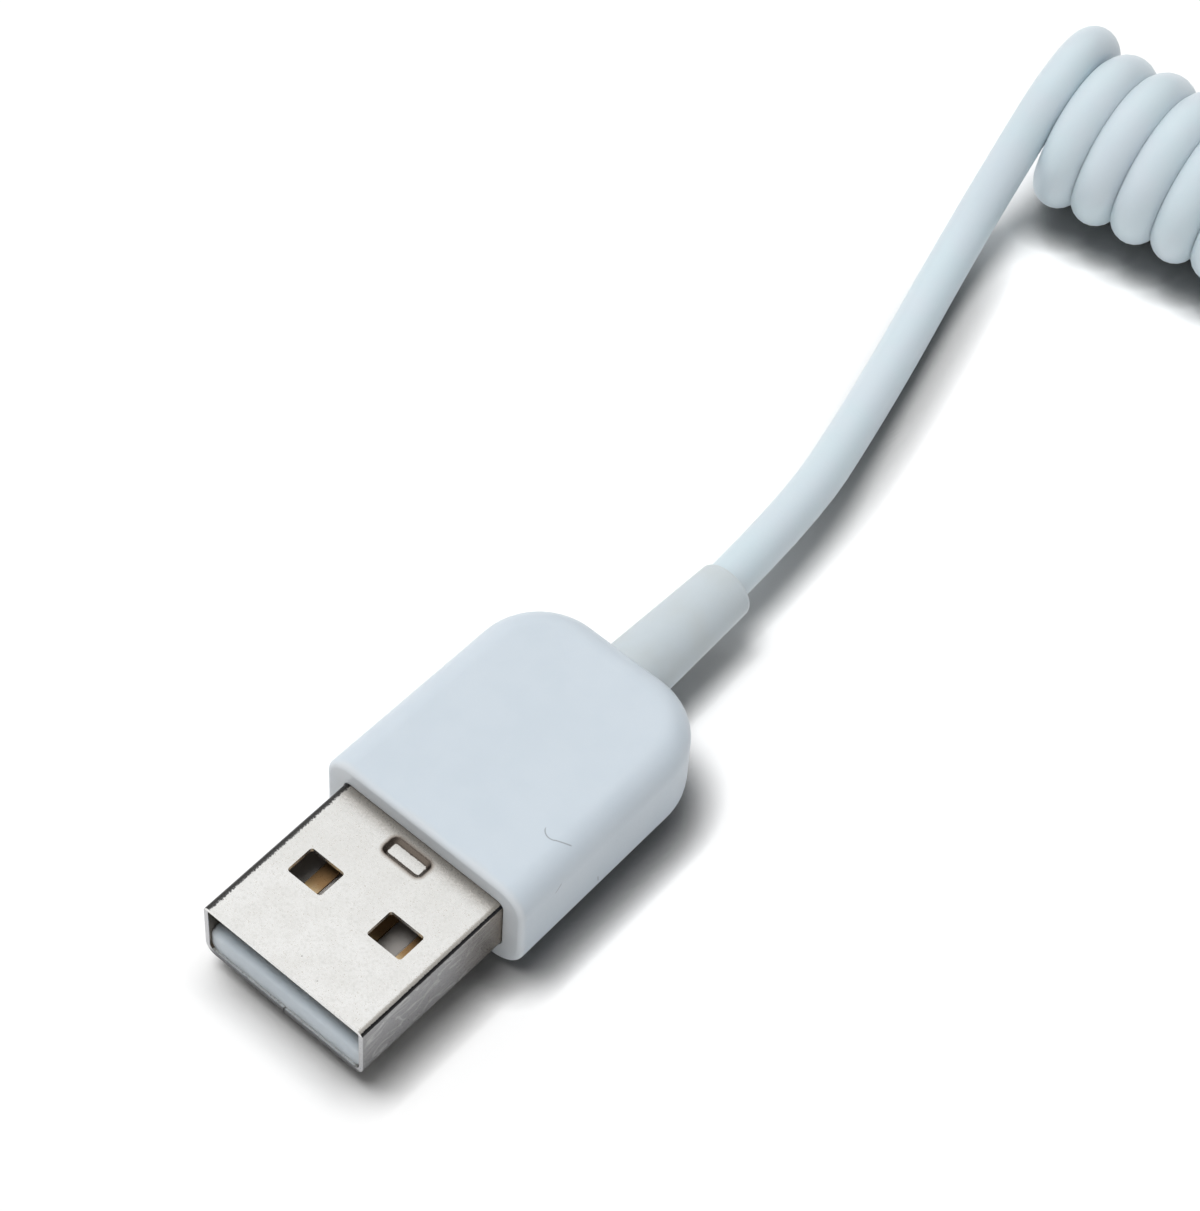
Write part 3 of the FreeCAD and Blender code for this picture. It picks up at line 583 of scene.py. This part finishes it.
# How strong each kind is
DULLING = 0.45
FLANK_REFLECTION_AMOUNT = 0.85
FLANK_RUBBED_OFF = 0.25
HOUSING_REFLECTION_AMOUNT = 0.75
FLANK_SHADE_AMOUNT = 0.5
FOLD_REFLECTION_AMOUNT = 0.55
LEFT_EDGE_BLACKING = 0.92
MARK_SHADOWING = 0.85
MARK_DARKENING = 0.85
INNER_SHADING = 0.9
LIP_BLACKING = 0.85
# How far the grain frays the edge of each kind
HOUSING_FRAYING = 0.5
FOLD_FRAYING = 0.16
LEFT_EDGE_FRAYING = 0.35
MARK_FRAYING = 0.10


def mark_distance(tree, x, y):
    """How far a point lies outside the pressed mark's round-cornered outline, less than 0 inside it."""
    across = calculate(tree, "SUBTRACT", calculate(tree, "ABSOLUTE", x), MARK_HALF_WIDTH - MARK_CORNER)
    from_middle = calculate(tree, "ABSOLUTE", calculate(tree, "SUBTRACT", y, MARK_MIDDLE))
    lengthwise = calculate(tree, "SUBTRACT", from_middle, MARK_HALF_LENGTH - MARK_CORNER)
    outside_x = calculate(tree, "MAXIMUM", across, 0.0)
    outside_y = calculate(tree, "MAXIMUM", lengthwise, 0.0)
    square_x = product(tree, outside_x, outside_x)
    square_y = product(tree, outside_y, outside_y)
    outside = calculate(tree, "SQRT", calculate(tree, "ADD", square_x, square_y))
    inside = calculate(tree, "MINIMUM", calculate(tree, "MAXIMUM", across, lengthwise), 0.0)
    reach = calculate(tree, "ADD", outside, inside)
    return calculate(tree, "SUBTRACT", reach, MARK_CORNER)


def darken_flanks_and_top(finish, aside, y, rough):
    """Flanks with a painted dark reflection and rubbed lines through it, a top that dulls towards the
    housing, and brown by the housing: a painted reflection of its shaded front, and painted shade along the
    flanks.
    """
    tree = finish.tree
    flank = ramp(tree, aside, *FLANK)
    rubbed = use_group(tree, RUBBING, Place=finish.where, Spacing=0.5, Width=0.05, Share=0.55)["Mask"]
    flank_reflection = calculate(tree, "MULTIPLY_ADD", rubbed, -FLANK_RUBBED_OFF, FLANK_REFLECTION_AMOUNT)
    finish.cover(product(tree, ramp(tree, y, *DULL_TOWARDS_HOUSING), DULLING), NICKEL_MOTTLE)
    # Painted dark reflection on the flanks, lightened along rubbed lines
    finish.cover(product(tree, flank, flank_reflection), FLANK_DARK_REFLECTION)
    frayed = calculate(tree, "MULTIPLY_ADD", rough, HOUSING_FRAYING, y)
    # Painted reflection of the housing's shaded front on the shell by the housing
    finish.cover(product(tree, ramp(tree, frayed, *HOUSING_REFLECTION_SPAN), HOUSING_REFLECTION_AMOUNT), SHADE_REFLECTION_BROWN)
    flank_shade = product(tree, flank, ramp(tree, y, *FLANK_SHADE_SPAN))
    # Painted shade along the flanks towards the housing
    finish.cover(product(tree, flank_shade, FLANK_SHADE_AMOUNT), SHADE_REFLECTION_BROWN)


def paint_fold_reflections(finish, x, rough):
    """A painted reflection over the folds with a black line of painted reflection in it, and a black band of
    painted reflection along the left edge.
    """
    tree = finish.tree
    normal = node(tree, "NewGeometry").outputs["Normal"]
    level = node(tree, "SeparateXYZ", Vector=normal).outputs["Z"]
    frayed = calculate(tree, "MULTIPLY_ADD", finish.grain["Height"], FOLD_FRAYING, level)
    folded = product(tree, ramp(tree, frayed, *FOLD_START), ramp(tree, frayed, *FOLD_END))
    # Painted reflections over the folds and along the left edge
    finish.cover(product(tree, folded, FOLD_REFLECTION_AMOUNT), FOLD_REFLECTION)
    finish.cover(product(tree, folded, ramp(tree, frayed, *FOLD_LINE)), DARK_REFLECTION)
    left_edge = calculate(tree, "MULTIPLY_ADD", rough, LEFT_EDGE_FRAYING, x)
    left_band = product(tree, ramp(tree, left_edge, *BLACK_LEFT_EDGE), ramp(tree, level, *NEARLY_LEVEL))
    finish.cover(product(tree, left_band, LEFT_EDGE_BLACKING), DARK_REFLECTION)


def shade_mark(finish, x, y, z, aside, rough):
    """Painted brown shadow round the pressed mark, and a painted dark reflection on its slopes and ends."""
    tree = finish.tree
    from_mark = calculate(tree, "MULTIPLY_ADD", rough, MARK_FRAYING, mark_distance(tree, x, y))
    on_top = ramp(tree, z, *TOP_SHEET)
    around_mark = product(tree, on_top, ramp(tree, from_mark, *MARK_SHADOW_OUTER_SPAN),
                          ramp(tree, from_mark, *MARK_SHADOW_INNER_SPAN))
    # Painted shadow round the mark
    finish.cover(product(tree, around_mark, MARK_SHADOWING), MARK_SHADOW_BROWN)
    mark_end = ramp(tree, aside, *MARK_END)
    off_slope = calculate(tree, "ABSOLUTE", calculate(tree, "ADD", from_mark, MARK_SLOPE_MIDDLE))
    slope_border = ramp(tree, off_slope, *MARK_SLOPE_BORDER)
    slope = product(tree, on_top, ramp(tree, from_mark, *MARK_SLOPE),
                    ramp(tree, from_mark, *MARK_SLOPE_INSIDE))
    end_or_border = calculate(tree, "MAXIMUM", mark_end, slope_border)
    # Painted dark reflection on the mark's slopes and ends
    finish.cover(product(tree, slope, end_or_border, MARK_DARKENING), MARK_DARK)


def shade_mouth(finish, y, z, aside):
    """Painted shade inside the tube, grey on the front edges below the top sheet, and a painted dark
    reflection on the lower lip.
    """
    tree = finish.tree
    upright = calculate(tree, "ABSOLUTE", z)
    inner = product(tree, ramp(tree, upright, *INNER_HEIGHT), ramp(tree, aside, *INNER_WIDTH))
    wall_or_deep = calculate(tree, "MAXIMUM", ramp(tree, y, *DEEP_INSIDE), ramp(tree, aside, *SIDE_WALL))
    # Painted shade inside the tube
    finish.cover(product(tree, inner, wall_or_deep, INNER_SHADING), INNER_SHADE)
    front_edge = ramp(tree, y, *FRONT_EDGE)
    finish.cover(product(tree, front_edge, ramp(tree, z, *BELOW_TOP_SHEET)), EDGE_GREY)
    low_lip = product(tree, front_edge, ramp(tree, z, *LOW_LIP))
    # Painted dark reflection on the lower lip
    finish.cover(product(tree, low_lip, LIP_BLACKING), DARK_REFLECTION)


def make_plug_nickel():
    """The plug's shell: bright nickel with rubbed lines and a duller top, and painted reflections and shade.
    """
    finish = start_nickel("plug_nickel", PLUG_AXES)
    tree = finish.tree
    x, y, z = along_axes(tree, finish.where)
    aside = calculate(tree, "ABSOLUTE", x)
    rough = calculate(tree, "SUBTRACT", finish.grain["Height"], GRAIN_MIDDLE)
    darken_flanks_and_top(finish, aside, y, rough)
    paint_fold_reflections(finish, x, rough)
    shade_mark(finish, x, y, z, aside, rough)
    shade_mouth(finish, y, z, aside)
    return finish.done()


# Gold

GILT = (1.0, 0.76, 0.40, 1)
RUBBED_GILT = (1.0, 0.86, 0.58, 1)
# Painted shade on the contacts further back
SHADED_BRONZE = (0.40, 0.24, 0.11, 1)
GILT_GRAIN = 0.08
GILT_GLOSS = (0.26, 0.40)
GILT_METALLIC = 0.25
# Along each connector, where the contact's painted shade starts and where it is full
PLUG_CONTACT_SHADE = (-6.3, -4.7)
SOCKET_CONTACT_SHADE = (6.0, 8.0)


def make_gold(name, axes, shade_ends):
    """A contact strip, gilt with rubbed lines at its mating end, with painted shade in dark bronze further
    back.
    """
    material, tree, shader = new_finish(name)
    where = millimetres(tree, axes)
    grain = use_group(tree, GRAIN, Place=where, Size=GILT_GRAIN)
    rubbed = use_group(tree, RUBBING, Place=where, Spacing=0.25, Width=0.03, Share=0.5)["Mask"]
    gilt = blend_colours(tree, rubbed, GILT, RUBBED_GILT)
    _, y, _ = along_axes(tree, where)
    back_shade = ramp(tree, y, *shade_ends)
    # Painted shade: darker bronze further back on the contact
    put(blend_colours(tree, back_shade, gilt, SHADED_BRONZE), tree, shader.inputs["Base Color"])
    put(ramp(tree, grain["Height"], *GRAIN_RANGE, *GILT_GLOSS), tree, shader.inputs["Roughness"])
    shader.inputs["Metallic"].default_value = GILT_METALLIC
    return material


# Which finish goes on which piece

def make_core_plastic(name):
    colour, drift_colour = CORE_COLOURS[name]
    return make_plastic(name, PLUG_AXES, colour=colour, drift_colour=drift_colour, **CORE_SURFACE)


FINISHES = {
    "plug_shell": make_plug_nickel(),
    "socket_shell": make_nickel("socket_nickel", SOCKET_AXES),
    "plug_tongue": make_plug_tongue_plastic(),
    "socket_tongue": make_plastic("socket_insulator", SOCKET_AXES, **SOCKET_TONGUE_PLASTIC),
    "plug_housing": make_plug_housing_plastic(),
    "socket_housing": make_plastic("socket_housing_plastic", SOCKET_AXES, **HOUSING_PLASTIC),
    "plug_contact": make_gold("plug_gold", PLUG_AXES, PLUG_CONTACT_SHADE),
    "socket_contact": make_gold("socket_gold", SOCKET_AXES, SOCKET_CONTACT_SHADE),
    "strain_relief": make_plastic("relief_plastic", PLUG_AXES, **RELIEF_PLASTIC),
    "inner_mould": make_plastic("inner_moulding", PLUG_AXES, **INNER_MOULD_PLASTIC),
    "crimp": make_nickel("crimp_metal", PLUG_AXES),
    "core_black": make_core_plastic("core_black"),
    "core_green": make_core_plastic("core_green"),
    "core_white": make_core_plastic("core_white"),
    "core_red": make_core_plastic("core_red"),
    "cord": make_plastic("cord_sheath", PLUG_AXES, **CORD_PLASTIC),
}


def finish_for(name):
    """A piece's own finish, or the one that both ends of the cable share."""
    if name in FINISHES:
        return FINISHES[name]
    end, piece = name.split("_", 1)
    return FINISHES[end + "_contact"] if piece.startswith("contact") else FINISHES[piece]


# Studio

SUN_HEADING = math.radians(170)
SUN_HEIGHT = math.radians(77)
SUN_SPREAD = math.radians(30)
SUN_STRENGTH = 2.4
SKY_LIGHT = 0.12
# A pale softbox behind and above. Metal mirrors it whole, and less of it falls on the plastic
SOFTBOX_AIM = (0.0, 0.58, 0.81)
SOFTBOX_SPREAD = (0.55, 0.9)
SOFTBOX_LIGHT = 0.95
SOFTBOX_ON_PLASTIC = 0.4
# A low band of light in front and to the left
FRONT_AIM = (-0.65, -0.72, 0.1)
FRONT_SPREAD = (-0.2, 0.6)
FRONT_HEIGHT = (0.6, 0.2)
FRONT_LIGHT = 0.75
# Metal also sees a pale room all round
ROOM_LIGHT = 0.6
ROOM_HEIGHT = (0.1, 0.5)
WHITE = (1, 1, 1, 1)
FLOOR_RADIUS = 3.0
FLOOR_CORNERS = 64
FLOOR_DROP = 0.02 * MM
FLOOR_WHITE = (0.98, 0.98, 0.98, 1)
# A painted shadow: the floor darkens within reach of what hides this way from it
FLOOR_SHADOW = (0.16, 0.16, 0.16, 1)
CONTACT_REACH = 3.0 * MM
CONTACT_HEADING = math.radians(104)
CONTACT_HEIGHT = math.radians(30)
CONTACT_RANGE = (0.53, 0.95)
CONTACT_SAMPLES = 2


def make_camera():
    data = bpy.data.cameras.new("photo_camera")
    data.sensor_fit = "VERTICAL"
    data.sensor_height = SENSOR
    data.lens = FOCAL_PIXELS / PHOTO_HEIGHT * SENSOR
    data.clip_start = NEAREST_SEEN
    camera = bpy.data.objects.new("photo_camera", data)
    turn = Matrix.Rotation(CAMERA_HEADING, 4, "Z")
    tilt = Matrix.Rotation(CAMERA_TILT, 4, "X")
    roll = Matrix.Rotation(CAMERA_ROLL, 4, "Z")
    camera.matrix_world = Matrix.Translation(CAMERA_PLACE) @ turn @ tilt @ roll
    bpy.context.scene.collection.objects.link(camera)
    bpy.context.scene.camera = camera


def direction(heading, height):
    """The unit vector towards a heading and a height above the floor."""
    level = math.cos(height)
    return Vector((math.cos(heading) * level, math.sin(heading) * level, math.sin(height)))


def make_floor_finish():
    """White with a painted shadow in front and to the right of the cable, except in light that it throws
    back.
    """
    material, tree, _ = new_finish("pale_floor")
    tree.nodes.clear()
    x, y, z = direction(CONTACT_HEADING, CONTACT_HEIGHT)
    looked_along = node(tree, "CombineXYZ", X=x, Y=y, Z=z).outputs[0]
    open_sky = node(tree, "AmbientOcclusion", {"samples": CONTACT_SAMPLES}, Distance=CONTACT_REACH,
                    Normal=looked_along).outputs["AO"]
    shaded = blend_colours(tree, ramp(tree, open_sky, *CONTACT_RANGE), FLOOR_SHADOW, FLOOR_WHITE)
    path = node(tree, "LightPath").outputs
    mirrored = calculate(tree, "MAXIMUM", path["Is Glossy Ray"], path["Is Transmission Ray"])
    seen = calculate(tree, "MAXIMUM", path["Is Camera Ray"], mirrored)
    plain = node(tree, "BsdfDiffuse", Color=FLOOR_WHITE).outputs[0]
    # The floor with its painted shadow, for camera and mirrored rays
    painted_shadow = node(tree, "BsdfDiffuse", Color=shaded).outputs[0]
    either = node(tree, "MixShader")
    put(seen, tree, either.inputs[0])
    put(plain, tree, either.inputs[1])
    put(painted_shadow, tree, either.inputs[2])
    node(tree, "OutputMaterial", Surface=either.outputs[0])
    return material


def make_floor():
    mesh = bpy.data.meshes.new("floor")
    step = 2 * math.pi / FLOOR_CORNERS
    rim = [(FLOOR_RADIUS * math.cos(corner * step), FLOOR_RADIUS * math.sin(corner * step), -FLOOR_DROP)
           for corner in range(FLOOR_CORNERS)]
    mesh.from_pydata(rim, [], [list(range(FLOOR_CORNERS))])
    floor = bpy.data.objects.new("floor", mesh)
    bpy.context.scene.collection.objects.link(floor)
    mesh.materials.append(make_floor_finish())


def towards(tree, where, aim):
    """How closely a direction points along an aim, 1 at the aim itself."""
    return calculate_vector(tree, "DOT_PRODUCT", where, Vector(aim).normalized())["Value"]


def make_sun():
    data = bpy.data.lights.new("key", "SUN")
    data.energy = SUN_STRENGTH
    data.angle = SUN_SPREAD
    key = bpy.data.objects.new("key", data)
    key.visible_glossy = False
    key.rotation_euler = direction(SUN_HEADING, SUN_HEIGHT).to_track_quat("Z", "Y").to_euler()
    bpy.context.scene.collection.objects.link(key)


def make_world():
    """A dim sky with the softbox, the front band, and the room that metal sees."""
    world = bpy.data.worlds.new("studio")
    world.use_nodes = True
    tree = world.node_tree
    back = tree.nodes["Background"]
    where = node(tree, "TexCoord").outputs["Generated"]
    softbox = ramp(tree, towards(tree, where, SOFTBOX_AIM), *SOFTBOX_SPREAD, 0.0, SOFTBOX_LIGHT)
    in_front = ramp(tree, towards(tree, where, FRONT_AIM), *FRONT_SPREAD, 0.0, FRONT_LIGHT)
    height = node(tree, "SeparateXYZ", Vector=where).outputs["Z"]
    band = product(tree, in_front, ramp(tree, height, *FRONT_HEIGHT))
    mirrored = node(tree, "LightPath").outputs["Is Glossy Ray"]
    share = calculate(tree, "MULTIPLY_ADD", mirrored, 1 - SOFTBOX_ON_PLASTIC, SOFTBOX_ON_PLASTIC)
    band_and_sky = calculate(tree, "ADD", band, SKY_LIGHT)
    light = calculate(tree, "ADD", product(tree, softbox, share), band_and_sky)
    room = product(tree, mirrored, ramp(tree, height, *ROOM_HEIGHT), ROOM_LIGHT)
    put(calculate(tree, "MAXIMUM", light, room), tree, back.inputs["Strength"])
    back.inputs["Color"].default_value = WHITE
    bpy.context.scene.world = world


make_camera()
make_floor()
make_sun()
make_world()
bpy.context.scene.view_settings.view_transform = "Standard"

cord = make_cord()
cord.data.materials.append(FINISHES["cord"])
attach(cord, "root")
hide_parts("plug_lead", "coil", "socket_lead")
for name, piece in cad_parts.items():
    if name not in CORD_NODES:
        piece.data.materials.clear()
        piece.data.materials.append(finish_for(name))
